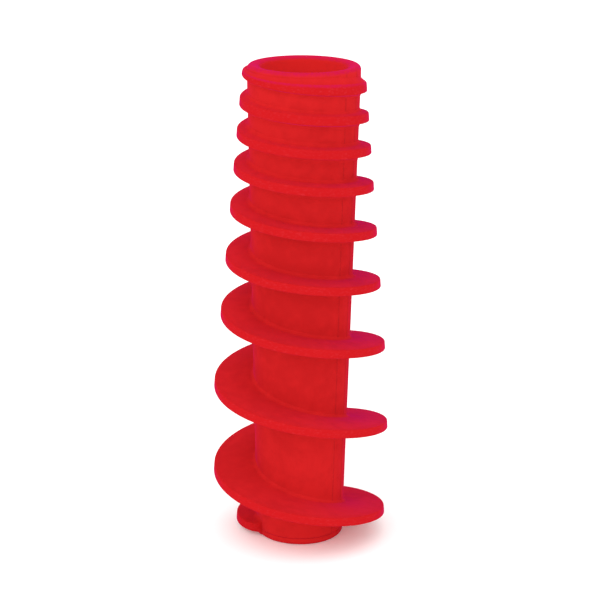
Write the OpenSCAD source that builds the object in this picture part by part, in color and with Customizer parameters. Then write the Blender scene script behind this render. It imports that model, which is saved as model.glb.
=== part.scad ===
// Ice fishing auger: a hollow tapered core with one left-hand flight around it. The flight's pitch and
// width grow towards the cutting end. Z is the auger's axis and points up, away from the ice. The origin
// is the centre of the flat bottom face. Lengths are millimetres, angles are degrees.

/* [Core] */
// Height from the flat bottom face to the top of the rim
auger_h = 407.5; // [406:0.5:410]
// Outer radius of the core at the rim
core_top_r = 46.6; // [45:0.1:48]
// Outer radius of the core at the bottom face
core_bottom_r = 37; // [36:0.1:38]
// Wall thickness of the core tube
wall = 4.5; // [4:0.1:5]
// Radius of the open mouth inside the rim
mouth_r = 36; // [33:0.1:37]
// Height of the bottom cap's flange
cap_flange_h = 6; // [4:0.5:8]

/* [Flight] */
// Turn angle, counter-clockwise from +X, at which the flight leaves the rim
flight_angle = 176; // [0:0.1:360]
// Pitch of the flight over its last turn, before it levels out
bottom_pitch = 78; // [76:0.5:80]
// Outer radius of the flight at the rim
flight_top_r = 50.6; // [50:0.1:52]
// Growth of the flight's radius over each 100 mm down
flight_flare = 8.8; // [8:0.1:9.5]
// Largest radius of the flight, half the width of the hole it cuts
flight_max_r = 74.5; // [73:0.5:76]
// Thickness of the flight along the axis at its outer edge
tip_t = 7; // [6:0.1:8]
// Thickness of the flight along the axis at its root, without the fillets
root_t = 11; // [9:0.1:12]
// Number of facet steps in one turn of the flight
turn_steps = 48; // [36:1:56]

/* [Drive] */
// Radius of the drive socket's bore
drive_bore_r = 11.15; // [10:0.05:12]
// Height of the drive socket's flange face
socket_top_z = 350; // [340:1:352]
// Width of the keyway in the drive socket
keyway_w = 6; // [4:0.5:8]
// Radius of the detent ball
ball_r = 3; // [3:0.1:3.2]
// How far the detent ball stands into the pilot bore, and so its travel
ball_travel = 1.2; // [0.8:0.1:1.3]

/* [Cutting edge] */
// Place of the blade along the flight, in turns from the rim
blade_turn = 8.7; // [8.66:0.01:8.74]
// Tilt of the blade towards the ice
blade_tilt = 8; // [6:0.5:9]
// Thickness of the blade
blade_t = 2; // [1.5:0.1:2.2]
// Depth of the blade from its heel to its cutting edge
blade_w = 24; // [20:0.5:24]

/* [Hidden] */
$fn = 96;
fit_gap = 0.08;          // gap between parts that sit in each other
rim_flange_h = 8;        // height of the collar's flange above the tube
spigot_h = 20;           // depth of the collar inside the tube
rim_round = 3.6;         // rounding of the rim's outer edge
tube_top_z = auger_h - rim_flange_h;

// Height of the flight's middle at each whole turn below the rim; the pitch grows on the way down
turn_z = [401, 378, 352, 323.5, 289.5, 247, 199.5, 137, 60];
turn_count = len(turn_z);
flight_start = -0.3;     // turns before the rim where the flight rises out of the core
lead_in = 0.28;          // turns over which it reaches its full width
edge_round = 1;          // rounding of the flight's outer edges
root_fillet = 2.2;       // fillet between the flight and the core
level_start = 8.43;      // turn at which the flight starts to level out
level_len = 0.48;        // turns over which it levels out
runout_start = 8.3;      // turn at which the flight starts to narrow
runout_end = 9.093;      // turn at which it would vanish in the core
last_turn_end = 9.075;   // turn at which its last face is cut
last_turn_steps = 60;
step_bunching = 75;      // how strongly the last turn's steps close up, 90 being all the way
rim_edge_z = auger_h - rim_round - 0.1; // the flight's top stays under the rim's rounded edge

// Drive
hub_h = 50;
hub_top_z = socket_top_z - 4;
hub_bottom_z = hub_top_z - hub_h;
hub_floor_z = hub_bottom_z + 16;
socket_r = 16;
socket_flange_r = 26;
socket_screw_pitch_r = 20.5;
pilot_r = 8.05;
pilot_top_z = hub_floor_z + 12;
keyway_depth = 2.8;
detent_z = hub_floor_z + 6;
ball_x = pilot_r - ball_travel + ball_r;
spring_x = ball_x + ball_r + 0.05;
spring_len = 5.1;
spring_coil_r = 2.2;
spring_wire_r = 0.35;
spring_turns = 5;
spring_turn_steps = 14;
spring_sides = 6;
detent_screw_r = 3.9;
detent_screw_len = 8;
key_rib_w = 5;
key_rib_depth = 3;
key_rib_h = hub_h - 14;
pocket_r = 6.5;
pocket_pitch_r = 28;

// Tie bolt that draws the hub and the bottom cap together
bolt_r = 3.95;
bolt_hole_r = 4.4;
bolt_head_r = 6.5;
bolt_head_h = 8;
cap_counterbore_r = 8.6;
cap_counterbore_h = 16;
washer_t = 1.6;
plug_h = 5;
nut_h = 6.5;
nut_r = 7.5;
cap_top_z = 34;
seal_r = 1.5;
hub_seal_z = hub_top_z - 6;
cap_seal_z = 24;

// Blade
blade_angle = flight_angle + 360 * blade_turn;
blade_z = 5;             // height of the blade's seat under the middle of the blade
blade_in_r = 44;
blade_out_r = 75;
blade_screw_r = [51, 64];
shoe_out_r = 68.5;
shoe_half_turn = 0.034;
shoe_steps = 6;
insert_r = 3.1;
insert_len = 5;

// ---- Shape rules ----

// Radius of the core's outside and inside at height z
function core_r(z) = core_bottom_r + (core_top_r - core_bottom_r) * z / auger_h;
function bore_r(z) = core_r(z) - wall;

// Slope of the flight's middle at whole turn n, in millimetres of height a turn
function turn_slope(n) =
    let (above = n == 0 ? 2 * turn_z[0] - turn_z[1] : turn_z[n - 1],
        below = n == turn_count - 1 ? turn_z[n] - bottom_pitch : turn_z[n + 1])
        (below - above) / 2;

// Height of the flight's middle after u turns: a smooth curve through turn_z, then a steady run that
// levels out at the bottom
function between_turns(n, f) =
    turn_z[n] * (2 * pow(f, 3) - 3 * pow(f, 2) + 1) + turn_slope(n) * (pow(f, 3) - 2 * pow(f, 2) + f)
    + turn_z[n + 1] * (3 * pow(f, 2) - 2 * pow(f, 3)) + turn_slope(n + 1) * (pow(f, 3) - pow(f, 2));
function flight_z(u) =
    u <= 0 ? turn_z[0]
    : u < turn_count - 1 ? between_turns(floor(u), u - floor(u))
    : let (level = max(0, u - level_start), eased = min(level, level_len), last = turn_count - 1)
        turn_z[last] + turn_slope(last) * (u - last - level + eased - pow(eased, 2) / (2 * level_len));

// Outer radius of the flight after u turns, with its lead-in at the rim and its run-out at the bottom
function full_r(u) = min(flight_top_r + flight_flare * (turn_z[0] - flight_z(u)) / 100, flight_max_r);
function lead_share(u) = 0.2 + 0.8 * sin(90 * min(1, (u - flight_start) / lead_in));
function runout_share(u) =
    u <= runout_start ? 1 : sqrt(1 - pow((u - runout_start) / (runout_end - runout_start), 2));
function flight_r(u) =
    let (root = core_r(flight_z(u))) root + (full_r(u) - root) * lead_share(u) * runout_share(u);

// Half the flight's thickness at radius r, thinner where the flight starts under the rim
function start_share(u) = min(1, 0.5 + 1.25 * max(0, u));
function half_t(u, r) =
    let (tip = flight_r(u), depth = tip - core_r(flight_z(u)))
        start_share(u) * (tip_t + (root_t - tip_t) * (tip - r) / depth) / 2;

// Outline of the flight at turn u: upper face from root to tip, then lower face from tip to root
function face_points(u, side) =
    let (
        middle = flight_z(u), tip = flight_r(u), root = core_r(middle), depth = tip - root,
        fillet = min(root_fillet, 0.3 * depth), edge = min(edge_round, 0.25 * depth),
        root_rise = half_t(u, root) + fillet, root_z = min(middle + side * root_rise, rim_edge_z)
    )
    [
        [core_r(root_z) + 1.3 * fit_gap, root_z],
        for (p = [
            [root + 0.3 * fillet, half_t(u, root) + 0.29 * fillet],
            [root + fillet, half_t(u, root + fillet)],
            [tip - edge, half_t(u, tip - edge)],
            [tip - 0.3 * edge, half_t(u, tip) - 0.3 * edge],
            [tip, half_t(u, tip) - edge]
        ]) [p[0], min(middle + side * p[1], rim_edge_z)]
    ];
FACE_POINTS = 6;
function flight_outline(u) =
    let (lower = face_points(u, -1))
        [each face_points(u, 1), for (i = [FACE_POINTS - 1:-1:0]) lower[i]];

// Turn at step i of a flight section; the last section's steps close up towards its end
function turn_at(n, i, steps) =
    n == turn_count
    ? n - 1 + (last_turn_end - n + 1) * sin(step_bunching * i / steps) / sin(step_bunching)
    : let (start = n == 1 ? flight_start : n - 1) start + (n - start) * i / steps;

// Puts an outline of [radius, height] points at an angle around the axis
function around(outline, angle) = [for (p = outline) [p[0] * cos(angle), p[0] * sin(angle), p[1]]];

// ---- Building blocks ----

// Closed solid through rings of points; each ring is an upper row and the lower row back
module swept(rings) {
    ring_n = len(rings[0]);
    last = len(rings) - 1;
    half_n = ring_n / 2;
    function at(i, j) = i * ring_n + (j % ring_n);
    sides = [
        for (i = [0:last - 1], j = [0:ring_n - 1])
            each [[at(i, j), at(i + 1, j), at(i + 1, j + 1)], [at(i, j), at(i + 1, j + 1), at(i, j + 1)]]
    ];
    first_end = [
        for (j = [0:half_n - 2])
            each [[j, j + 1, ring_n - 1 - j], [j + 1, ring_n - 2 - j, ring_n - 1 - j]]
    ];
    last_end = [for (t = first_end) [last * ring_n + t[0], last * ring_n + t[2], last * ring_n + t[1]]];
    polyhedron(points = [for (ring = rings) each ring], faces = concat(sides, first_end, last_end));
}

// Ring with a round section, such as a seal
module round_ring(middle_r, section_r, z) {
    translate([0, 0, z]) rotate_extrude() translate([middle_r, 0]) circle(r = section_r);
}

// Cone that follows the core's inside from z0 to z1, shrunk by gap
module inner_cone(z0, z1, gap) {
    translate([0, 0, z0]) cylinder(h = z1 - z0, r1 = bore_r(z0) - gap, r2 = bore_r(z1) - gap);
}

// Places things in the blade's own frame: X outward, Y towards the cut, Z up
module at_blade(r = 0) {
    rotate([0, 0, blade_angle]) translate([0, 0, blade_z])
        rotate([-blade_tilt, 0, 0]) translate([r, 0, 0]) children();
}

// The core's three torque ribs, or with a gap the slots they slide in
module key_ribs(gap) {
    for (i = [0:2])
        rotate([0, 0, 60 + 120 * i])
            translate([bore_r(hub_bottom_z) - key_rib_depth - gap, -key_rib_w / 2 - gap, hub_bottom_z - gap])
                cube([key_rib_depth + 3, key_rib_w + 2 * gap, key_rib_h + 2 * gap]);
}

// Blind holes for the blade's inserts, twelve-sided so that the inserts' knurls bite
module insert_holes() {
    flats = 12;
    for (r = blade_screw_r)
        at_blade(r) translate([0, 0, -5])
            cylinder(h = 5 + insert_len + 1, r = (insert_r + fit_gap) / cos(180 / flats), $fn = flats);
}

// ---- Sub-parts ----

// Tapered tube that carries everything else
module core_tube() {
    color("firebrick") {
        difference() {
            translate([0, 0, cap_flange_h])
                cylinder(h = tube_top_z - cap_flange_h, r1 = core_r(cap_flange_h), r2 = core_r(tube_top_z));
            inner_cone(cap_flange_h - 1, tube_top_z + 1, 0);
        }
        key_ribs(0);
    }
}

// Thick rim around the open mouth, rounded outside and falling in a softer curve to the mouth
module mouth_collar() {
    outer_r = core_r(tube_top_z);
    lip_w = outer_r - rim_round - mouth_r;
    lip_drop = 3.2;
    spigot_z = tube_top_z - spigot_h;
    color("crimson") rotate_extrude() polygon([
        [mouth_r, spigot_z],
        [bore_r(spigot_z) - fit_gap, spigot_z],
        [bore_r(tube_top_z) - fit_gap, tube_top_z],
        [outer_r, tube_top_z],
        for (a = [0:15:75]) [outer_r + rim_round * (cos(a) - 1), auger_h + rim_round * (sin(a) - 1)],
        for (a = [90:15:180]) [mouth_r + lip_w * (1 + cos(a)), auger_h + lip_drop * (sin(a) - 1)]
    ]);
}

// One turn of the flight; the last one also holds the blade's inserts
module flight_turn(n) {
    steps = n == turn_count ? last_turn_steps : n == 1 ? ceil(turn_steps * (1 - flight_start)) : turn_steps;
    color("red") difference() {
        swept([
            for (i = [0:steps])
                let (u = turn_at(n, i, steps)) around(flight_outline(u), flight_angle + 360 * u)
        ]);
        if (n == turn_count)
            insert_holes();
    }
}

// Plug with a flange that closes the bottom of the core
module bottom_cap() {
    flange_round = 2.5;
    flange_r = core_r(cap_flange_h);
    color("firebrick") difference() {
        union() {
            rotate_extrude() polygon([
                [0, 0],
                for (a = [-90:18:0]) [flange_r + flange_round * (cos(a) - 1), flange_round * (1 + sin(a))],
                [flange_r, cap_flange_h],
                [0, cap_flange_h]
            ]);
            inner_cone(cap_flange_h, cap_top_z, fit_gap);
        }
        translate([0, 0, -1]) cylinder(h = cap_counterbore_h + 1, r = cap_counterbore_r);
        cylinder(h = cap_top_z + 1, r = bolt_hole_r);
        rotate_extrude() translate([bore_r(cap_seal_z) - 2 * seal_r - 0.3, cap_seal_z - seal_r - 0.2])
            square([2 * seal_r + 1, 2 * seal_r + 0.4]);
    }
}

// Seal between the bottom cap and the core
module cap_seal() {
    color("black") round_ring(bore_r(cap_seal_z) - seal_r - 0.1, seal_r, cap_seal_z);
}

// Flush plug over the tie bolt's head
module bolt_plug() {
    color("firebrick") cylinder(h = plug_h, r = cap_counterbore_r - fit_gap);
}

// Long bolt through the core, with a hexagon socket in its head
module tie_bolt() {
    head_top_z = cap_counterbore_h - washer_t;
    head_z = head_top_z - bolt_head_h;
    color("silver") difference() {
        union() {
            translate([0, 0, head_z]) cylinder(h = bolt_head_h, r = bolt_head_r);
            translate([0, 0, head_top_z]) cylinder(h = hub_floor_z - 1 - head_top_z, r = bolt_r);
        }
        translate([0, 0, head_z - 1]) cylinder(h = 5, r = 3.46, $fn = 6);
    }
}

// Washer under the tie bolt's head
module tie_bolt_washer() {
    color("gainsboro") translate([0, 0, cap_counterbore_h - washer_t]) difference() {
        cylinder(h = washer_t, r = cap_counterbore_r - 0.6);
        translate([0, 0, -1]) cylinder(h = washer_t + 2, r = bolt_r + 0.2);
    }
}

// Nut held from turning in the hub's floor
module tie_bolt_nut() {
    color("gainsboro") translate([0, 0, hub_floor_z - 1 - nut_h]) difference() {
        cylinder(h = nut_h, r = nut_r, $fn = 6);
        translate([0, 0, -1]) cylinder(h = nut_h + 2, r = bolt_r + 0.05);
    }
}

// Hub that joins the drive socket to the core
module drive_hub() {
    color("dimgray") difference() {
        inner_cone(hub_bottom_z, hub_top_z, fit_gap);
        translate([0, 0, hub_floor_z]) cylinder(h = hub_h, r = socket_r + fit_gap);
        translate([0, 0, hub_bottom_z - 1]) cylinder(h = hub_h, r = bolt_hole_r);
        translate([0, 0, hub_floor_z - 1 - nut_h]) cylinder(h = nut_h + 2, r = nut_r + 0.1, $fn = 6);
        translate([0, 0, detent_z]) rotate([0, 90, 0]) cylinder(h = core_top_r, r = detent_screw_r + fit_gap);
        for (i = [0:5])
            rotate([0, 0, 30 + 60 * i]) translate([pocket_pitch_r, 0, hub_bottom_z - 1])
                cylinder(h = hub_h - 13, r = pocket_r);
        for (i = [0:3])
            rotate([0, 0, 45 + 90 * i]) translate([socket_screw_pitch_r, 0, hub_top_z - 10])
                cylinder(h = 11, r = 2.5 + fit_gap);
        rotate_extrude() translate([bore_r(hub_seal_z) - 2 * seal_r - 0.3, hub_seal_z - seal_r - 0.2])
            square([2 * seal_r + 1, 2 * seal_r + 0.4]);
        key_ribs(0.2);
    }
}

// Seal between the hub and the core; it stands over the torque ribs, which stop below it
module hub_seal() {
    color("black") round_ring(bore_r(hub_seal_z) - seal_r - 0.1, seal_r, hub_seal_z);
}

// Flanged steel socket with a keyway, a pilot bore under it and a cross hole for the detent
module drive_socket() {
    lip = 0.35;
    color("silver") difference() {
        union() {
            translate([0, 0, hub_floor_z]) cylinder(h = hub_top_z - hub_floor_z, r = socket_r);
            translate([0, 0, hub_top_z]) cylinder(h = socket_top_z - hub_top_z, r = socket_flange_r);
        }
        translate([0, 0, hub_floor_z - 1]) cylinder(h = hub_h, r = pilot_r);
        translate([0, 0, pilot_top_z]) cylinder(h = hub_h, r = drive_bore_r);
        translate([-keyway_w / 2, 0, pilot_top_z])
            cube([keyway_w, drive_bore_r + keyway_depth, hub_h]);
        translate([0, 0, detent_z]) rotate([0, 90, 0]) cylinder(h = socket_r + 1, r = ball_r - 0.3);
        translate([pilot_r + lip, 0, detent_z]) rotate([0, 90, 0]) cylinder(h = socket_r, r = ball_r + 0.05);
        for (i = [0:3])
            rotate([0, 0, 45 + 90 * i]) translate([socket_screw_pitch_r, 0, hub_top_z - 1])
                cylinder(h = 6, r = 2.75);
    }
}

// Screws that hold the socket's flange on the hub
module socket_screws() {
    color("gainsboro") for (i = [0:3])
        rotate([0, 0, 45 + 90 * i]) translate([socket_screw_pitch_r, 0, hub_top_z - 9]) difference() {
            union() {
                cylinder(h = socket_top_z - hub_top_z + 9, r = 2.5);
                translate([0, 0, socket_top_z - hub_top_z + 9]) cylinder(h = 2.8, r = 4.4);
            }
            translate([0, 0, socket_top_z - hub_top_z + 10]) cylinder(h = 3, r = 1.73, $fn = 6);
        }
}

// Ball that clicks into the groove of the drive shaft's nose
module detent_ball() {
    color("gainsboro") translate([ball_x, 0, detent_z]) sphere(r = ball_r);
}

// Coil spring behind the ball
module detent_spring() {
    steps = spring_turns * spring_turn_steps;
    rise = spring_len - 2 * spring_wire_r;
    color("slategray") translate([spring_x + spring_wire_r, 0, detent_z]) rotate([0, 90, 0]) swept([
        for (i = [0:steps])
            around(
                [
                    for (j = [0:spring_sides - 1])
                        let (a = 90 + (j + 0.5) * 360 / spring_sides)
                            [spring_coil_r + spring_wire_r * cos(a), rise * i / steps + spring_wire_r * sin(a)]
                ],
                360 * i / spring_turn_steps
            )
    ]);
}

// Set screw that backs the spring
module detent_screw() {
    color("gray") translate([spring_x + spring_len + 0.05, 0, detent_z]) rotate([0, 90, 0]) difference() {
        cylinder(h = detent_screw_len, r = detent_screw_r);
        translate([0, 0, detent_screw_len - 4]) cylinder(h = 5, r = 2.3, $fn = 6);
    }
}

// Pad that fills the space between the flight's lower face and the flat blade
module blade_shoe() {
    function seat_z(r, angle) = blade_z - tan(blade_tilt) * r * sin(angle - blade_angle);
    function under_z(u, r) = flight_z(u) - half_t(u, r) - 0.25;
    function outline(u, angle) = [
        [blade_in_r, under_z(u, blade_in_r)],
        [shoe_out_r, under_z(u, shoe_out_r)],
        [shoe_out_r, seat_z(shoe_out_r, angle)],
        [blade_in_r, seat_z(blade_in_r, angle)]
    ];
    color("firebrick") difference() {
        swept([
            for (i = [0:shoe_steps])
                let (u = blade_turn + shoe_half_turn * (2 * i / shoe_steps - 1), angle = flight_angle + 360 * u)
                    around(outline(u, angle), angle)
        ]);
        insert_holes();
    }
}

// Flat blade with a ground cutting edge that faces the way the auger turns
module cutting_blade() {
    color("silver") difference() {
        at_blade(blade_in_r) translate([0, 0, -fit_gap]) rotate([90, 0, 90])
            linear_extrude(blade_out_r - blade_in_r) polygon([
                [-blade_w / 2, -blade_t],
                [blade_w / 2, -blade_t],
                [blade_w / 2 - 4.5, 0],
                [-blade_w / 2, 0]
            ]);
        for (r = blade_screw_r) at_blade(r) translate([0, 0, -5]) cylinder(h = 8, r = 2.1);
    }
}

// Brass inserts that the blade's screws bite in
module blade_inserts() {
    color("goldenrod") for (r = blade_screw_r) at_blade(r) translate([0, 0, 0.2]) difference() {
        cylinder(h = insert_len, r = insert_r);
        translate([0, 0, -1]) cylinder(h = insert_len + 2, r = 2.05);
    }
}

// Low-headed screws that hold the blade
module blade_screws() {
    head_h = 1.2;
    color("gainsboro") for (r = blade_screw_r)
        at_blade(r) translate([0, 0, -fit_gap - blade_t - head_h]) difference() {
            union() {
                cylinder(h = head_h, r = 3.8);
                cylinder(h = head_h + blade_t + insert_len, r = 2);
            }
            translate([0, 0, -1]) cylinder(h = 2.4, r = 1.44, $fn = 6);
        }
}

core_tube();
mouth_collar();
flight_turn(1);  // flight_turn_1
flight_turn(2);  // flight_turn_2
flight_turn(3);  // flight_turn_3
flight_turn(4);  // flight_turn_4
flight_turn(5);  // flight_turn_5
flight_turn(6);  // flight_turn_6
flight_turn(7);  // flight_turn_7
flight_turn(8);  // flight_turn_8
flight_turn(9);  // flight_turn_9
bottom_cap();
cap_seal();
bolt_plug();
tie_bolt();
tie_bolt_washer();
tie_bolt_nut();
drive_hub();
hub_seal();
drive_socket();
socket_screws();
detent_ball();
detent_spring();
detent_screw();
blade_shoe();
cutting_blade();
blade_inserts();
blade_screws();
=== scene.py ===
"""Looks of a red moulded ice auger: a hollow tapered core, one left-hand flight, a rim and hardware."""

import math

import bpy
import numpy as np
from mathutils import Matrix, Vector


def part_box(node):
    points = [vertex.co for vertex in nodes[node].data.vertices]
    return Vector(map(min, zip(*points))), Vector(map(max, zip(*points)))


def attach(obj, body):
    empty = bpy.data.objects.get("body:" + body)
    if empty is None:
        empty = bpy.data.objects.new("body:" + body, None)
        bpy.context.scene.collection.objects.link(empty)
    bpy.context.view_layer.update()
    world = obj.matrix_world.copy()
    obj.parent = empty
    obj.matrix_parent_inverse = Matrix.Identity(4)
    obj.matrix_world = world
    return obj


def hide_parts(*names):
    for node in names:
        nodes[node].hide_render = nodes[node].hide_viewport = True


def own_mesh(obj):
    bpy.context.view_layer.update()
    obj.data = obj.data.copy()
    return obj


MM = 0.001
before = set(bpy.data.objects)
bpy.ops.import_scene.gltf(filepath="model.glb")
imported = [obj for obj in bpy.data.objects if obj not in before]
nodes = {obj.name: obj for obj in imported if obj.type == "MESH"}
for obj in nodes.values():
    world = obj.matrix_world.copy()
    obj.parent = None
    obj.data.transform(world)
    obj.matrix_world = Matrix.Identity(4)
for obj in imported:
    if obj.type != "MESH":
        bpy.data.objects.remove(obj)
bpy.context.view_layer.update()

# ---- Sizes, in millimetres, as the frame was built ----

AUGER_H = 407.5
CORE_TOP_R = 46.6
CORE_BOTTOM_R = 37.0
WALL = 4.5
MOUTH_R = 36.0
CAP_FLANGE_H = 6.0
TUBE_TOP_Z = AUGER_H - 8.0
COLLAR_BOTTOM_Z = TUBE_TOP_Z - 20.0

RIM_ROUND = 3.6
LIP_DROP = 3.2
PRESS_GAP = 0.08

TURN_Z = np.array([401, 378, 352, 323.5, 289.5, 247, 199.5, 137, 60.0])
TURNS = len(TURN_Z)
BOTTOM_PITCH = 78.0
FLIGHT_ANGLE = 176.0
FLIGHT_TOP_R = 50.6
FLIGHT_FLARE = 8.8
FLIGHT_MAX_R = 74.5
TIP_T = 7.0
ROOT_T = 11.0
FLIGHT_START = -0.3
LEAD_IN = 0.28
LEVEL_START = 8.43
LEVEL_LEN = 0.48
RUNOUT_START = 8.3
RUNOUT_END = 9.093
FLIGHT_END = 9.0925
FLIGHT_BOTTOM_Z = 0.8
RIM_EDGE_Z = AUGER_H - RIM_ROUND - 0.1
SKIRT_END = 0.34
SKIRT_FADE = 0.22
ROOT_FILLET = 3.4
TOP_EDGE_ROUND = 1.0
LOW_EDGE_ROUND = 0.7
TIP_DRAFT = 0.4
TURN_STEPS = 160
LAST_TURN_STEPS = 220
STEP_BUNCHING = math.radians(86)

HUB_RIB = (6.0, 5.0, 36.0)
HUB_RIB_COUNT = 3
CAP_TOP_Z = 34.0
CAP_SEAT_Z = 16.0
COUNTERBORE_R = 8.6
BOLT_HOLE_R = 4.4

SPRING_COIL_R = 2.2
SPRING_WIRE_R = 0.35
SPRING_TURNS = 5

PARTING_ANGLES = (-43.0, -24.0, 137.0, 156.0)
PARTING_HALF_WIDTH = 1.2

# Where on the flight's first turn its upper edge gets a painted magenta highlight, in turns
PAINTED_HIGHLIGHT_MIDDLE = 0.22


# ---- Shape rules of the core and the flight ----


def core_r(z):
    return CORE_BOTTOM_R + (CORE_TOP_R - CORE_BOTTOM_R) * z / AUGER_H


def bore_r(z):
    return core_r(z) - WALL


def flight_middle(u):
    """Height of the flight's middle after u turns: a curve through TURN_Z, then a run that levels out."""
    knots = np.concatenate([[2 * TURN_Z[0] - TURN_Z[1]], TURN_Z, [TURN_Z[-1] - BOTTOM_PITCH]])
    slopes = (knots[2:] - knots[:-2]) / 2
    whole = np.clip(np.floor(u).astype(int), 0, TURNS - 2)
    f = u - whole
    curve = TURN_Z[whole] * (2 * f**3 - 3 * f**2 + 1) + slopes[whole] * (f**3 - 2 * f**2 + f)
    curve += TURN_Z[whole + 1] * (3 * f**2 - 2 * f**3) + slopes[whole + 1] * (f**3 - f**2)
    level = np.maximum(u - LEVEL_START, 0)
    eased = np.minimum(level, LEVEL_LEN)
    run = u - (TURNS - 1) - level + eased - eased**2 / (2 * LEVEL_LEN)
    curve = np.where(u > TURNS - 1, TURN_Z[-1] + slopes[-1] * run, curve)
    return np.where(u < 0, TURN_Z[0], curve)


def flight_tip(u):
    """Outer radius of the flight, with its lead-in under the rim and its run-out at the lower end."""
    middle = flight_middle(u)
    full = np.minimum(FLIGHT_TOP_R + FLIGHT_FLARE * (TURN_Z[0] - middle) / 100, FLIGHT_MAX_R)
    lead = 0.2 + 0.8 * np.sin(math.pi / 2 * np.clip((u - FLIGHT_START) / LEAD_IN, 0, 1))
    runout = np.sqrt(1 - np.clip((u - RUNOUT_START) / (RUNOUT_END - RUNOUT_START), 0, 1) ** 2)
    root = core_r(middle)
    return root + (full - root) * lead * runout


# ---- Modelling helpers ----


def select_only(piece):
    bpy.ops.object.select_all(action="DESELECT")
    piece.select_set(True)
    bpy.context.view_layer.objects.active = piece


def points_of(piece):
    flat = np.empty(len(piece.data.vertices) * 3, np.float32)
    piece.data.vertices.foreach_get("co", flat)
    return flat.reshape(-1, 3).astype(float)


def set_points(piece, points):
    piece.data.vertices.foreach_set("co", np.asarray(points, np.float32).ravel())
    piece.data.update()


def add_mask(piece, name, amounts):
    """Gives each point a share from 0 to 1 that the red finish reads by name."""
    mask = piece.data.attributes.new(name, "FLOAT", "POINT")
    mask.data.foreach_set("value", np.clip(amounts, 0, 1).astype(np.float32))


def close_up(piece, smooth_angle, fill=False):
    """Merges double points, fills open ends, turns the faces outward and smooths all but the sharp edges."""
    select_only(piece)
    bpy.ops.object.mode_set(mode="EDIT")
    bpy.ops.mesh.select_all(action="SELECT")
    bpy.ops.mesh.remove_doubles(threshold=0.002 * MM)
    if fill:
        bpy.ops.mesh.fill_holes(sides=0)
        bpy.ops.mesh.select_all(action="SELECT")
    bpy.ops.mesh.normals_make_consistent(inside=False)
    bpy.ops.object.mode_set(mode="OBJECT")
    bpy.ops.object.shade_smooth_by_angle(angle=math.radians(smooth_angle))


def finished(piece, material, body, slot, *replaced):
    """Gives a piece its material and body, and lets it stand for its CAD nodes. The record slot is not used.
    """
    piece.data.materials.clear()
    piece.data.materials.append(material)
    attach(piece, body)
    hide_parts(*replaced)
    return piece


def rounded(corners, arc_steps=6):
    """A closed outline through (radius, height, rounding) corners, each rounded by an arc, in millimetres."""
    outline = []
    for i, (x, y, rounding) in enumerate(corners):
        here = Vector((x, y))
        before = Vector(corners[i - 1][:2]) - here
        after = Vector(corners[(i + 1) % len(corners)][:2]) - here
        if rounding == 0:
            outline.append((x, y))
            continue
        half = before.angle(after) / 2
        reach = rounding / math.tan(half)
        first = here + before.normalized() * reach
        centre = here + (before.normalized() + after.normalized()).normalized() * (rounding / math.sin(half))
        swing = (first - centre).angle_signed(here + after.normalized() * reach - centre)
        for k in range(arc_steps + 1):
            spoke = (first - centre).copy()
            spoke.rotate(Matrix.Rotation(-swing * k / arc_steps, 2))
            outline.append(tuple(centre + spoke))
    return outline


def lathe(name, outline, steps=192, smooth_angle=35):
    """A turned piece: a circle primitive drawn out to the closed outline and spun round the axis."""
    bpy.ops.object.select_all(action="DESELECT")
    bpy.ops.mesh.primitive_circle_add(vertices=len(outline), radius=MM)
    piece = bpy.context.object
    piece.name = piece.data.name = name
    set_points(piece, [(r * MM, 0, z * MM) for r, z in outline])
    bpy.ops.object.mode_set(mode="EDIT")
    bpy.ops.mesh.select_all(action="SELECT")
    bpy.ops.mesh.spin(steps=steps, angle=2 * math.pi, center=(0, 0, 0), axis=(0, 0, 1))
    bpy.ops.object.mode_set(mode="OBJECT")
    close_up(piece, smooth_angle)
    return piece


def wrapped_grid(name, along_steps, around_steps, place):
    """A grid primitive wrapped into a closed bar: place(along, around) gives its points and its masks."""
    bpy.ops.object.select_all(action="DESELECT")
    bpy.ops.mesh.primitive_grid_add(x_subdivisions=along_steps, y_subdivisions=around_steps, size=1)
    piece = bpy.context.object
    piece.name = piece.data.name = name
    shares = points_of(piece)[:, :2] + 0.5
    placed, masks = place(shares[:, 0], shares[:, 1])
    set_points(piece, placed * MM)
    for mask, amounts in masks.items():
        add_mask(piece, mask, amounts)
    close_up(piece, 40, fill=True)
    return piece


def refined(node, bevel=0.25, smooth_angle=35):
    """A finer copy of a CAD node: merged, flat faces joined, and every sharp edge broken by a small bevel."""
    piece = nodes[node].copy()
    piece.data = piece.data.copy()
    piece.name = piece.data.name = node + "_finished"
    for key in list(piece.keys()):
        del piece[key]
    bpy.context.scene.collection.objects.link(piece)
    piece.parent = None
    select_only(piece)
    bpy.ops.object.mode_set(mode="EDIT")
    bpy.ops.mesh.select_all(action="SELECT")
    bpy.ops.mesh.remove_doubles(threshold=0.001 * MM)
    bpy.ops.mesh.dissolve_limited(angle_limit=math.radians(0.5))
    bpy.ops.object.mode_set(mode="OBJECT")
    if bevel:
        edges = piece.modifiers.new("broken edges", "BEVEL")
        edges.width = bevel * MM
        edges.segments = 2
        edges.limit_method = "ANGLE"
        edges.angle_limit = math.radians(40)
        edges.use_clamp_overlap = True
        bpy.ops.object.modifier_apply(modifier=edges.name)
    bpy.ops.object.shade_smooth_by_angle(angle=math.radians(smooth_angle))
    return piece


# ---- Materials ----


class Value:
    """A socket or number in a finish. Arithmetic on it adds Math nodes."""

    def __init__(self, finish, socket):
        self.finish = finish
        self.socket = socket

    def math(self, operation, *others):
        return self.finish.node("Math", {"operation": operation}, dict(enumerate([self, *others])))

    def __add__(self, other):
        return self.math("ADD", other)

    def __mul__(self, other):
        return self.math("MULTIPLY", other)

    __radd__ = __add__
    __rmul__ = __mul__


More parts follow.
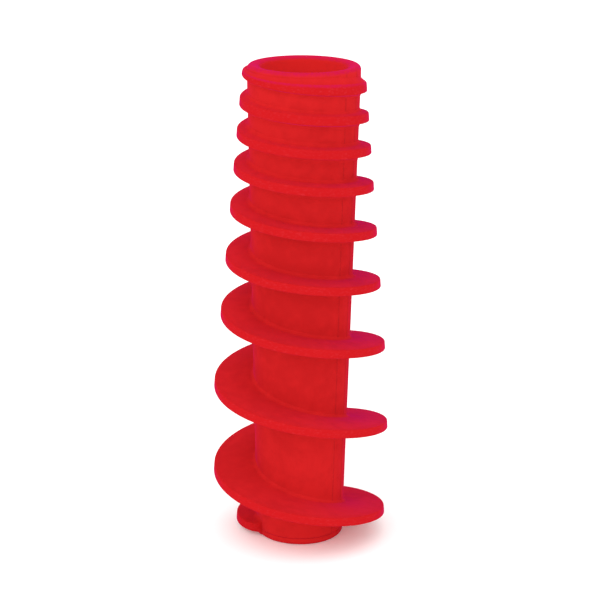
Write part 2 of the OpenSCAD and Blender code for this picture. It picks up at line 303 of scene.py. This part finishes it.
class Finish:
    """A procedural material on the piece's own coordinates, with one Principled shader."""

    def __init__(self, name, **constants):
        self.material = bpy.data.materials.new(name)
        self.material.use_nodes = True
        self.tree = self.material.node_tree
        self.shader = self.tree.nodes["Principled BSDF"]
        for socket, value in constants.items():
            self.shader.inputs[socket.replace("_", " ").title().replace("Ior", "IOR")].default_value = value
        self.place = self.node("TexCoord", {}, {}, "Object")

    def node(self, kind, settings, inputs, output=0):
        made = self.tree.nodes.new("ShaderNode" + kind)
        for key, value in settings.items():
            if key == "stops":
                ramp = made.color_ramp.elements
                for i, (position, colour) in enumerate(value):
                    stop = ramp[i] if i < 2 else ramp.new(position)
                    stop.position = position
                    stop.color = colour
            else:
                setattr(made, key, value)
        for key, value in inputs.items():
            self.feed(made.inputs[key], value)
        return Value(self, made.outputs[output])

    def feed(self, socket, value):
        if isinstance(value, Value):
            self.tree.links.new(value.socket, socket)
        else:
            socket.default_value = value

    def noise(self, scale, detail=2.0, stretch=(1, 1, 1), roughness=0.5):
        where = self.node("Mapping", {}, {"Vector": self.place, "Scale": stretch})
        inputs = {"Vector": where, "Scale": scale, "Detail": detail, "Roughness": roughness}
        return self.node("TexNoise", {}, inputs)

    def masked(self, source, low, high):
        """source taken from 0 at low to 1 at high."""
        return self.node(
            "MapRange",
            {"interpolation_type": "SMOOTHSTEP"},
            {"Value": source, "From Min": low, "From Max": high, "To Min": 0.0, "To Max": 1.0},
        )

    def mixed(self, share, first, second):
        return self.node(
            "Mix", {"data_type": "RGBA"}, {"Factor": share, 6: first, 7: second}, 2
        )

    def axis_distance(self):
        """Distance from the auger's axis."""
        split = {axis: self.node("SeparateXYZ", {}, {"Vector": self.place}, axis) for axis in "XY"}
        return (split["X"] * split["X"] + split["Y"] * split["Y"]).math("SQRT")

    def attribute(self, name):
        return self.node("Attribute", {"attribute_name": name}, {}, "Fac")

    def surface(self, colour, roughness, height=None, depth=0.0):
        self.feed(self.shader.inputs["Base Color"], colour)
        self.feed(self.shader.inputs["Roughness"], roughness)
        if height is not None:
            inputs = {"Height": height, "Strength": 1.0, "Distance": depth * MM}
            bump = self.node("Bump", {}, inputs, "Normal")
            self.feed(self.shader.inputs["Normal"], bump)
        return self.material


def red_moulding():
    """Satin red plastic: flow marks, mould grain, edges scuffed by ice under a darker red painted as shade
    along the flight's outer edge, a painted highlight on the rim and the first turn's upper edge, and a bore
    painted lighter against its shade.
    """
    finish = Finish(
        "red_moulding",
        specular_ior_level=0.0,
        sheen_weight=0.25,
        sheen_roughness=0.3,
        sheen_tint=(0.5, 0.0, 0.6, 1.0),
    )
    flow = finish.noise(14, 3, stretch=(1, 1, 0.4))
    mottle = finish.noise(120, 4)
    grain = finish.noise(2600, 2)
    streaks = finish.noise(260, 2, stretch=(1, 1, 0.04))
    scuffs = finish.masked(finish.noise(420, 3, stretch=(1, 1, 3)), 0.52, 0.68)
    speckle = finish.masked(finish.noise(500, 3), 0.40, 0.58)
    edge = finish.attribute("edge_shade_and_wear")
    tone = finish.masked(flow * 0.6 + mottle * 0.4, 0.36, 0.62)
    body = finish.mixed(tone, (0.505, 0.0130, 0.0143, 1), (0.575, 0.0158, 0.0170, 1))
    # Painted light: the bore is painted a brighter red to lift the shade inside it
    bore_lit = finish.mixed(finish.attribute("bore_painted_light"), body, (0.80, 0.0240, 0.0230, 1))
    line = finish.attribute("parting_line") * (0.35 + speckle * 0.5)
    lined = finish.mixed(line, bore_lit, (0.36, 0.011, 0.013, 1))
    # Painted shade: the flight's outer edge is darkened to hold back the light its band catches; the scuffs
    # below are wear
    edge_shade_wear = finish.mixed(edge * 0.8, lined, (0.485, 0.0078, 0.0105, 1))
    scuffed = finish.mixed(edge * scuffs * 0.3, edge_shade_wear, (0.58, 0.035, 0.045, 1))
    # Painted highlight: magenta on the rim's crest and on the first turn's upper edge
    painted_highlight = finish.attribute("painted_highlight_rim") * (speckle * 0.5 + 0.5)
    highlighted = finish.mixed(painted_highlight, scuffed, (0.50, 0.0075, 0.0520, 1))
    roughness = 0.36 + mottle * 0.1 + edge * scuffs * 0.2
    height = grain * 0.5 + streaks * 0.6 + mottle * 0.8
    return finish.surface(highlighted, roughness, height, 0.09)


def black_nylon():
    """Filled nylon with a dull, slightly cloudy skin."""
    finish = Finish("black_nylon")
    mottle = finish.noise(160, 4)
    grain = finish.noise(2200, 2)
    colour = finish.mixed(mottle, (0.018, 0.018, 0.020, 1), (0.040, 0.040, 0.043, 1))
    return finish.surface(colour, 0.5 + mottle * 0.16, grain, 0.08)


def turned_steel(name, dark, light, ring_scale, roughness):
    """Steel with the fine rings that a lathe leaves."""
    finish = Finish(name, metallic=1.0)
    rings = finish.axis_distance().math("MULTIPLY", ring_scale).math("SINE")
    stain = finish.noise(90, 4)
    colour = finish.mixed(finish.masked(stain, 0.35, 0.7), dark, light)
    return finish.surface(colour, roughness + stain * 0.16, rings * 0.5 + stain, 0.02)


def zinc_steel():
    """Zinc plate: a faint yellow and blue cloudiness over a dull shine."""
    finish = Finish("zinc_steel", metallic=1.0)
    cloud = finish.noise(210, 3)
    colour = finish.mixed(finish.masked(cloud, 0.38, 0.66), (0.52, 0.53, 0.58, 1), (0.66, 0.64, 0.58, 1))
    return finish.surface(colour, 0.3 + cloud * 0.18, finish.noise(1500, 2), 0.02)


def spring_steel():
    """Dark wire with its drawing marks."""
    finish = Finish("spring_steel", metallic=1.0)
    drawn = finish.noise(900, 3, stretch=(0.1, 1, 1))
    colour = finish.mixed(drawn, (0.16, 0.16, 0.17, 1), (0.32, 0.31, 0.30, 1))
    return finish.surface(colour, 0.32 + drawn * 0.15, drawn, 0.01)


def blade_steel():
    """Stainless strip, ground across its width."""
    finish = Finish("blade_steel", metallic=1.0)
    ground = finish.noise(1800, 2, stretch=(0.06, 1, 1))
    stain = finish.noise(120, 3)
    colour = finish.mixed(stain, (0.46, 0.46, 0.47, 1), (0.66, 0.66, 0.66, 1))
    return finish.surface(colour, 0.2 + ground * 0.2, ground, 0.03)


def insert_brass():
    """Brass with light tarnish."""
    finish = Finish("insert_brass", metallic=1.0)
    stain = finish.noise(300, 3)
    colour = finish.mixed(stain, (0.50, 0.32, 0.10, 1), (0.74, 0.53, 0.22, 1))
    return finish.surface(colour, 0.3 + stain * 0.2, finish.noise(1600, 2), 0.02)


def seal_rubber():
    """Black rubber with a faint bloom."""
    finish = Finish("seal_rubber")
    bloom = finish.noise(240, 3)
    colour = finish.mixed(bloom, (0.010, 0.010, 0.010, 1), (0.030, 0.030, 0.030, 1))
    return finish.surface(colour, 0.55 + bloom * 0.2, finish.noise(2400, 2), 0.03)


def pale_floor():
    finish = Finish("pale_floor", emission_color=(1, 1, 1, 1), emission_strength=0.1)
    soft = finish.noise(1.5, 2)
    colour = finish.mixed(soft, (0.96, 0.96, 0.96, 1), (0.98, 0.98, 0.98, 1))
    return finish.surface(colour, 0.8 + soft * 0.05)


RED = red_moulding()
NYLON = black_nylon()
MACHINED = turned_steel("machined_steel", (0.38, 0.38, 0.40, 1), (0.60, 0.60, 0.61, 1), 9000.0, 0.26)
ZINC = zinc_steel()
SPRING_WIRE = spring_steel()
BLADE = blade_steel()
BRASS = insert_brass()
RUBBER = seal_rubber()

# ---- Red mouldings ----


def flight_turn(number):
    """One turn of the flight: faces that thin towards the tip, filleted at the core and rounded outside."""
    last = number == TURNS
    start = FLIGHT_START if number == 1 else number - 1
    end = FLIGHT_END if last else number
    fillet_steps, face_steps, round_steps, band_steps = 7, 5, 5, 3
    # Stations over one face, from the root outwards: which stretch each is on, and how far along it
    fillet_share = 1 - np.cos(np.linspace(0, math.pi / 2, fillet_steps + 1))
    face_share = np.linspace(0, 1, face_steps + 1)[1:-1]
    round_share = 1 - np.sin(np.linspace(0, math.pi / 2, round_steps + 1))
    kinds = np.repeat([0, 1, 2], [len(fillet_share), len(face_share), len(round_share)])
    amounts = np.concatenate([fillet_share, face_share, round_share])
    count = len(kinds)
    # Around the bar: inner corner, upper face, band, lower face back, inner corner, and the first again
    ring = [("in", 1, 0)] + [("face", 1, i) for i in range(count)]
    ring += [("band", 1 - 2 * k / band_steps, count - 1) for k in range(1, band_steps)]
    ring += [("face", -1, i) for i in reversed(range(count))] + [("in", -1, 0), ("in", 1, 0)]

    def place(along, around):
        if last:
            along = np.sin(STEP_BUNCHING * along) / math.sin(STEP_BUNCHING)
        u = start + (end - start) * along
        middle = flight_middle(u)
        root = core_r(middle)
        step = np.rint(around * (len(ring) - 1)).astype(int)
        side = np.array([r[1] for r in ring])[step]
        # The outer face leans in towards its upper edge, as it draws out of the mould
        depth = flight_tip(u) - root
        depth = depth - np.minimum(TIP_DRAFT, 0.15 * depth) * (1 + side) / 2
        tip = root + depth
        start_share = np.clip(0.5 + 1.25 * np.maximum(u, 0), 0, 1)
        headroom = RIM_EDGE_Z - middle
        fillet = np.minimum(ROOT_FILLET, 0.34 * depth)
        edge = np.minimum(np.where(side > 0, TOP_EDGE_ROUND, LOW_EDGE_ROUND), 0.3 * depth)
        station = np.array([r[2] for r in ring])[step]
        kind, amount = kinds[station], amounts[station]
        inside = np.array([r[0] == "in" for r in ring])[step]
        radius = np.where(
            kind == 0,
            root + fillet * amount,
            np.where(kind == 1, root + fillet + (depth - fillet - edge) * amount, tip - edge * amount),
        )
        from_root, from_tip = radius - root, tip - radius
        slope = (ROOT_T - TIP_T) * from_tip / np.maximum(depth, 0.01)
        rise = fillet - np.sqrt(np.maximum(fillet**2 - np.maximum(fillet - from_root, 0) ** 2, 0))
        fall = edge - np.sqrt(np.maximum(edge**2 - np.maximum(edge - from_tip, 0) ** 2, 0))
        half = start_share * (TIP_T + slope) / 2 + rise
        skirt = np.clip((SKIRT_END + SKIRT_FADE - u) / SKIRT_FADE, 0, 1)
        skirt = skirt * np.clip(from_tip / np.maximum(depth, 0.01), 0, 1) ** 0.8
        upper_half = np.minimum(half + np.maximum(headroom - half, 0) * skirt, headroom)
        half = np.where(side > 0, upper_half, half) - fall
        radius = np.where(inside, root - 1.2, radius)
        height = np.maximum(middle + side * half, FLIGHT_BOTTOM_Z)
        angle = np.radians(FLIGHT_ANGLE) + 2 * math.pi * u
        # Edge mask: the darker red it brings is painted shade, the scuffs it places are wear
        edge_shade_wear = np.where(inside, 0, np.exp(-np.maximum(from_tip, 0) / 1.4))
        on_round = np.sin(math.pi * np.clip(from_tip / np.maximum(edge, 0.01), 0, 1))
        # A painted highlight on the first turn's upper rounding, near the front
        highlighted = np.clip(1.6 - 4 * np.abs(u - PAINTED_HIGHLIGHT_MIDDLE), 0, 1)
        painted_highlight = on_round * (side == 1) * (kind == 2) * highlighted
        points = np.stack([radius * np.cos(angle), radius * np.sin(angle), height], -1)
        return points, {"edge_shade_and_wear": edge_shade_wear, "painted_highlight_rim": painted_highlight}

    piece = wrapped_grid(
        f"flight_{number}", LAST_TURN_STEPS if last else TURN_STEPS, len(ring) - 1, place
    )
    return finished(piece, RED, "auger", "red_moulding", f"flight_turn_{number}")


def parting_ridges(piece, height=0.35):
    """Raises and marks the fine ridges where the mould's parts met, outside a turned piece."""
    points = points_of(piece)
    radius = np.hypot(points[:, 0], points[:, 1])
    outside = radius > (core_r(points[:, 2] / MM) - 1.0) * MM
    angle = np.degrees(np.arctan2(points[:, 1], points[:, 0]))
    lift = np.zeros(len(points))
    for line in PARTING_ANGLES:
        away = np.abs((angle - line + 180) % 360 - 180)
        lift = np.maximum(lift, np.clip(1 - away / PARTING_HALF_WIDTH, 0, 1))
    grow = 1 + np.where(outside, lift * height * MM / np.maximum(radius, MM), 0)
    points[:, :2] *= grow[:, None]
    set_points(piece, points)
    add_mask(piece, "parting_line", np.where(outside, lift, 0))


def core_tube():
    outer = [(core_r(z), z) for z in np.linspace(CAP_FLANGE_H + 0.5, TUBE_TOP_Z - 0.5, 60)]
    outline = (
        [(bore_r(CAP_FLANGE_H), CAP_FLANGE_H + 0.05), (core_r(CAP_FLANGE_H) - 0.45, CAP_FLANGE_H + 0.05)]
        + outer
        + [(core_r(TUBE_TOP_Z) - 0.45, TUBE_TOP_Z - 0.05), (bore_r(TUBE_TOP_Z), TUBE_TOP_Z - 0.05)]
    )
    piece = lathe("core_shell", outline, steps=300)
    parting_ridges(piece)
    points = points_of(piece) / MM
    # Marks the bore, where a lighter red is painted against its shade
    add_mask(piece, "bore_painted_light", np.hypot(points[:, 0], points[:, 1]) < bore_r(points[:, 2]) + 1.0)
    return finished(piece, RED, "auger", "red_moulding", "core_tube")


def torque_ribs():
    """The ribs inside the core that the hub's slots slide on."""
    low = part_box("drive_hub")[0]
    depth, width, height = (side * MM for side in HUB_RIB)
    middle_r = bore_r(low.z / MM) * MM
    for i in range(HUB_RIB_COUNT):
        bpy.ops.object.select_all(action="DESELECT")
        bpy.ops.mesh.primitive_cube_add(size=1)
        rib = bpy.context.object
        rib.name = rib.data.name = f"torque_rib_{i + 1}"
        rib.scale = (depth, width, height)
        rib.location = (middle_r, 0, low.z + height / 2)
        bpy.ops.object.transform_apply(location=True, rotation=False, scale=True)
        rib.rotation_euler = (0, 0, math.radians(60 + 360 * i / HUB_RIB_COUNT))
        bpy.ops.object.transform_apply(location=False, rotation=True, scale=False)
        edges = rib.modifiers.new("rounded", "BEVEL")
        edges.width = 0.8 * MM
        edges.segments = 3
        bpy.ops.object.modifier_apply(modifier=edges.name)
        bpy.ops.object.shade_smooth_by_angle(angle=math.radians(35))
        rib.data.materials.append(RED)
        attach(rib, "auger")


def mouth_collar():
    spigot_r = bore_r(COLLAR_BOTTOM_Z) - PRESS_GAP
    shoulder_r = bore_r(TUBE_TOP_Z) - PRESS_GAP
    outer_r = core_r(TUBE_TOP_Z)
    lip_w = outer_r - RIM_ROUND - MOUTH_R
    round_over = [
        (outer_r + RIM_ROUND * (math.cos(a) - 1), AUGER_H + RIM_ROUND * (math.sin(a) - 1))
        for a in np.radians(np.arange(0, 90, 9))
    ]
    lip = [
        (MOUTH_R + lip_w * (1 + math.cos(a)), AUGER_H + LIP_DROP * (math.sin(a) - 1))
        for a in np.radians(np.arange(90, 181, 7.5))
    ]
    spigot = [(MOUTH_R, COLLAR_BOTTOM_Z), (spigot_r, COLLAR_BOTTOM_Z), (shoulder_r, TUBE_TOP_Z)]
    piece = lathe("mouth_rim", spigot + [(outer_r, TUBE_TOP_Z)] + round_over + lip, steps=256)
    parting_ridges(piece, 0.3)
    points = points_of(piece) / MM
    in_bore = np.hypot(points[:, 0], points[:, 1]) < MOUTH_R + 0.5
    # A painted highlight along the rim's crest
    add_mask(piece, "painted_highlight_rim", 1 - np.abs(points[:, 2] - AUGER_H + 0.8) / 2.2)
    # Marks the mouth's bore below the lip, painted lighter against its shade
    add_mask(piece, "bore_painted_light", np.where(in_bore, (AUGER_H - 1.5 - points[:, 2]) / 2.5, 0))
    return finished(piece, RED, "auger", "red_moulding", "mouth_collar")


def bottom_cap():
    flange_r = core_r(CAP_FLANGE_H)
    # (radius, height, rounding) of each corner, from the counterbore out over the foot and back inside
    outline = rounded([
        (COUNTERBORE_R, 0, 0.5),
        (14.0, 0, 0.4),
        (15.0, 0.7, 0.4),
        (28.0, 0.7, 0.4),
        (29.0, 0, 0.4),
        (flange_r, 0, 3.0),
        (flange_r, CAP_FLANGE_H, 0.4),
        (bore_r(CAP_FLANGE_H) - PRESS_GAP, CAP_FLANGE_H, 0),
        (bore_r(CAP_TOP_Z) - PRESS_GAP, CAP_TOP_Z, 0.8),
        (BOLT_HOLE_R, CAP_TOP_Z, 0.4),
        (BOLT_HOLE_R, CAP_SEAT_Z, 0),
        (COUNTERBORE_R, CAP_SEAT_Z, 0),
    ])
    piece = lathe("lower_cap", outline, steps=256)
    return finished(piece, RED, "auger", "red_moulding", "bottom_cap")


for turn in range(1, TURNS + 1):
    flight_turn(turn)
core_tube()
torque_ribs()
mouth_collar()
bottom_cap()

# ---- Hardware ----

for node, material, slot, bevel in (
    ("bolt_plug", RED, "red_moulding", 0.4),
    ("blade_shoe", RED, "red_moulding", 0.3),
    ("drive_hub", NYLON, "black_nylon", 0.4),
    ("drive_socket", MACHINED, "machined_steel", 0.4),
    ("socket_screws", ZINC, "zinc_steel", 0.3),
    ("tie_bolt", ZINC, "zinc_steel", 0.3),
    ("tie_bolt_washer", ZINC, "zinc_steel", 0.15),
    ("tie_bolt_nut", ZINC, "zinc_steel", 0.3),
    ("detent_screw", SPRING_WIRE, "spring_steel", 0.2),
    ("cutting_blade", BLADE, "blade_steel", 0.12),
    ("blade_inserts", BRASS, "insert_brass", 0.15),
    ("blade_screws", ZINC, "zinc_steel", 0.2),
):
    finished(refined(node, bevel), material, "auger", slot, node)


def middle_of(node):
    """Centre and size of a CAD node, in metres."""
    low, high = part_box(node)
    return (low + high) / 2, high - low


def seal(node):
    """A round-section ring in the place of a CAD seal."""
    centre, size = middle_of(node)
    bpy.ops.object.select_all(action="DESELECT")
    bpy.ops.mesh.primitive_torus_add(
        location=centre,
        major_radius=size.x / 2 - size.z / 2,
        minor_radius=size.z / 2,
        major_segments=160,
        minor_segments=20,
    )
    ring = bpy.context.object
    ring.name = ring.data.name = node + "_ring"
    bpy.ops.object.transform_apply(location=True)
    bpy.ops.object.shade_smooth()
    return finished(ring, RUBBER, "auger", "seal_rubber", node)


def detent_ball():
    centre, size = middle_of("detent_ball")
    bpy.ops.object.select_all(action="DESELECT")
    bpy.ops.mesh.primitive_ico_sphere_add(subdivisions=5, radius=size.x / 2, location=centre)
    ball = bpy.context.object
    ball.name = ball.data.name = "detent_ball_polished"
    bpy.ops.object.transform_apply(location=True)
    bpy.ops.object.shade_smooth()
    return finished(ball, MACHINED, "detent", "machined_steel", "detent_ball")


def detent_spring():
    """A round-wire coil in the place of the CAD spring."""
    centre, size = middle_of("detent_spring")
    coil_len = size.x - 2 * SPRING_WIRE_R * MM

    def place(along, around):
        turn = 2 * math.pi * SPRING_TURNS * along
        wire = 2 * math.pi * around
        radius = SPRING_COIL_R + SPRING_WIRE_R * np.cos(wire)
        x = centre.x / MM + (along - 0.5) * coil_len / MM + SPRING_WIRE_R * np.sin(wire)
        return np.stack([x, radius * np.cos(turn), centre.z / MM + radius * np.sin(turn)], -1), {}

    coil = wrapped_grid("detent_coil", SPRING_TURNS * 32, 10, place)
    finished(coil, SPRING_WIRE, "auger", "spring_steel", "detent_spring")
    low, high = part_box("detent_spring")
    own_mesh(coil)
    return coil


seal("cap_seal")
seal("hub_seal")
detent_ball()
detent_spring()

# ---- Floor, light and camera ----


def floor():
    bpy.ops.object.select_all(action="DESELECT")
    bpy.ops.mesh.primitive_plane_add(size=30, location=(0, 0, -0.05 * MM))
    ground = bpy.context.object
    ground.name = "floor"
    ground.data.materials.append(pale_floor())


def soft_sun(name, azimuth, elevation, spread, strength):
    """A wide, even light from a direction given in degrees, azimuth 0 being the viewer's side."""
    lamp = bpy.data.lights.new(name, "SUN")
    lamp.angle = math.radians(spread)
    lamp.energy = strength
    holder = bpy.data.objects.new(name, lamp)
    bpy.context.scene.collection.objects.link(holder)
    holder.rotation_euler = (math.radians(90 - elevation), 0, math.radians(azimuth))


def studio():
    world = bpy.data.worlds.new("studio")
    world.use_nodes = True
    world.node_tree.nodes["Background"].inputs["Color"].default_value = (1, 1, 1, 1)
    world.node_tree.nodes["Background"].inputs["Strength"].default_value = 1.12
    bpy.context.scene.world = world
    soft_sun("key", -35, 48, 60, 0.8)
    soft_sun("fill", 50, 35, 90, 0.3)
    bpy.context.scene.view_settings.view_transform = "Standard"


def camera():
    """A long lens on the viewer's side, a little above the auger."""
    elevation, roll = math.radians(16.81), math.radians(0.536)
    distance, focal_share = 1.6, 1903.2 / 600
    aim = Vector((-1.5 * MM, 0, 207.6 * MM))
    forward = Vector((0, math.cos(elevation), -math.sin(elevation)))
    right = Vector((1, 0, 0))
    up = right.cross(forward)
    across = right * math.cos(roll) + up * math.sin(roll)
    upward = up * math.cos(roll) - right * math.sin(roll)
    lens = bpy.data.cameras.new("camera")
    lens.sensor_width = 36
    lens.lens = focal_share * lens.sensor_width
    lens.clip_start = 0.05
    lens.clip_end = 60
    eye = bpy.data.objects.new("camera", lens)
    bpy.context.scene.collection.objects.link(eye)
    turn = Matrix((across, upward, -forward)).transposed().to_4x4()
    eye.matrix_world = Matrix.Translation(aim - forward * distance) @ turn
    bpy.context.scene.camera = eye


floor()
studio()
camera()
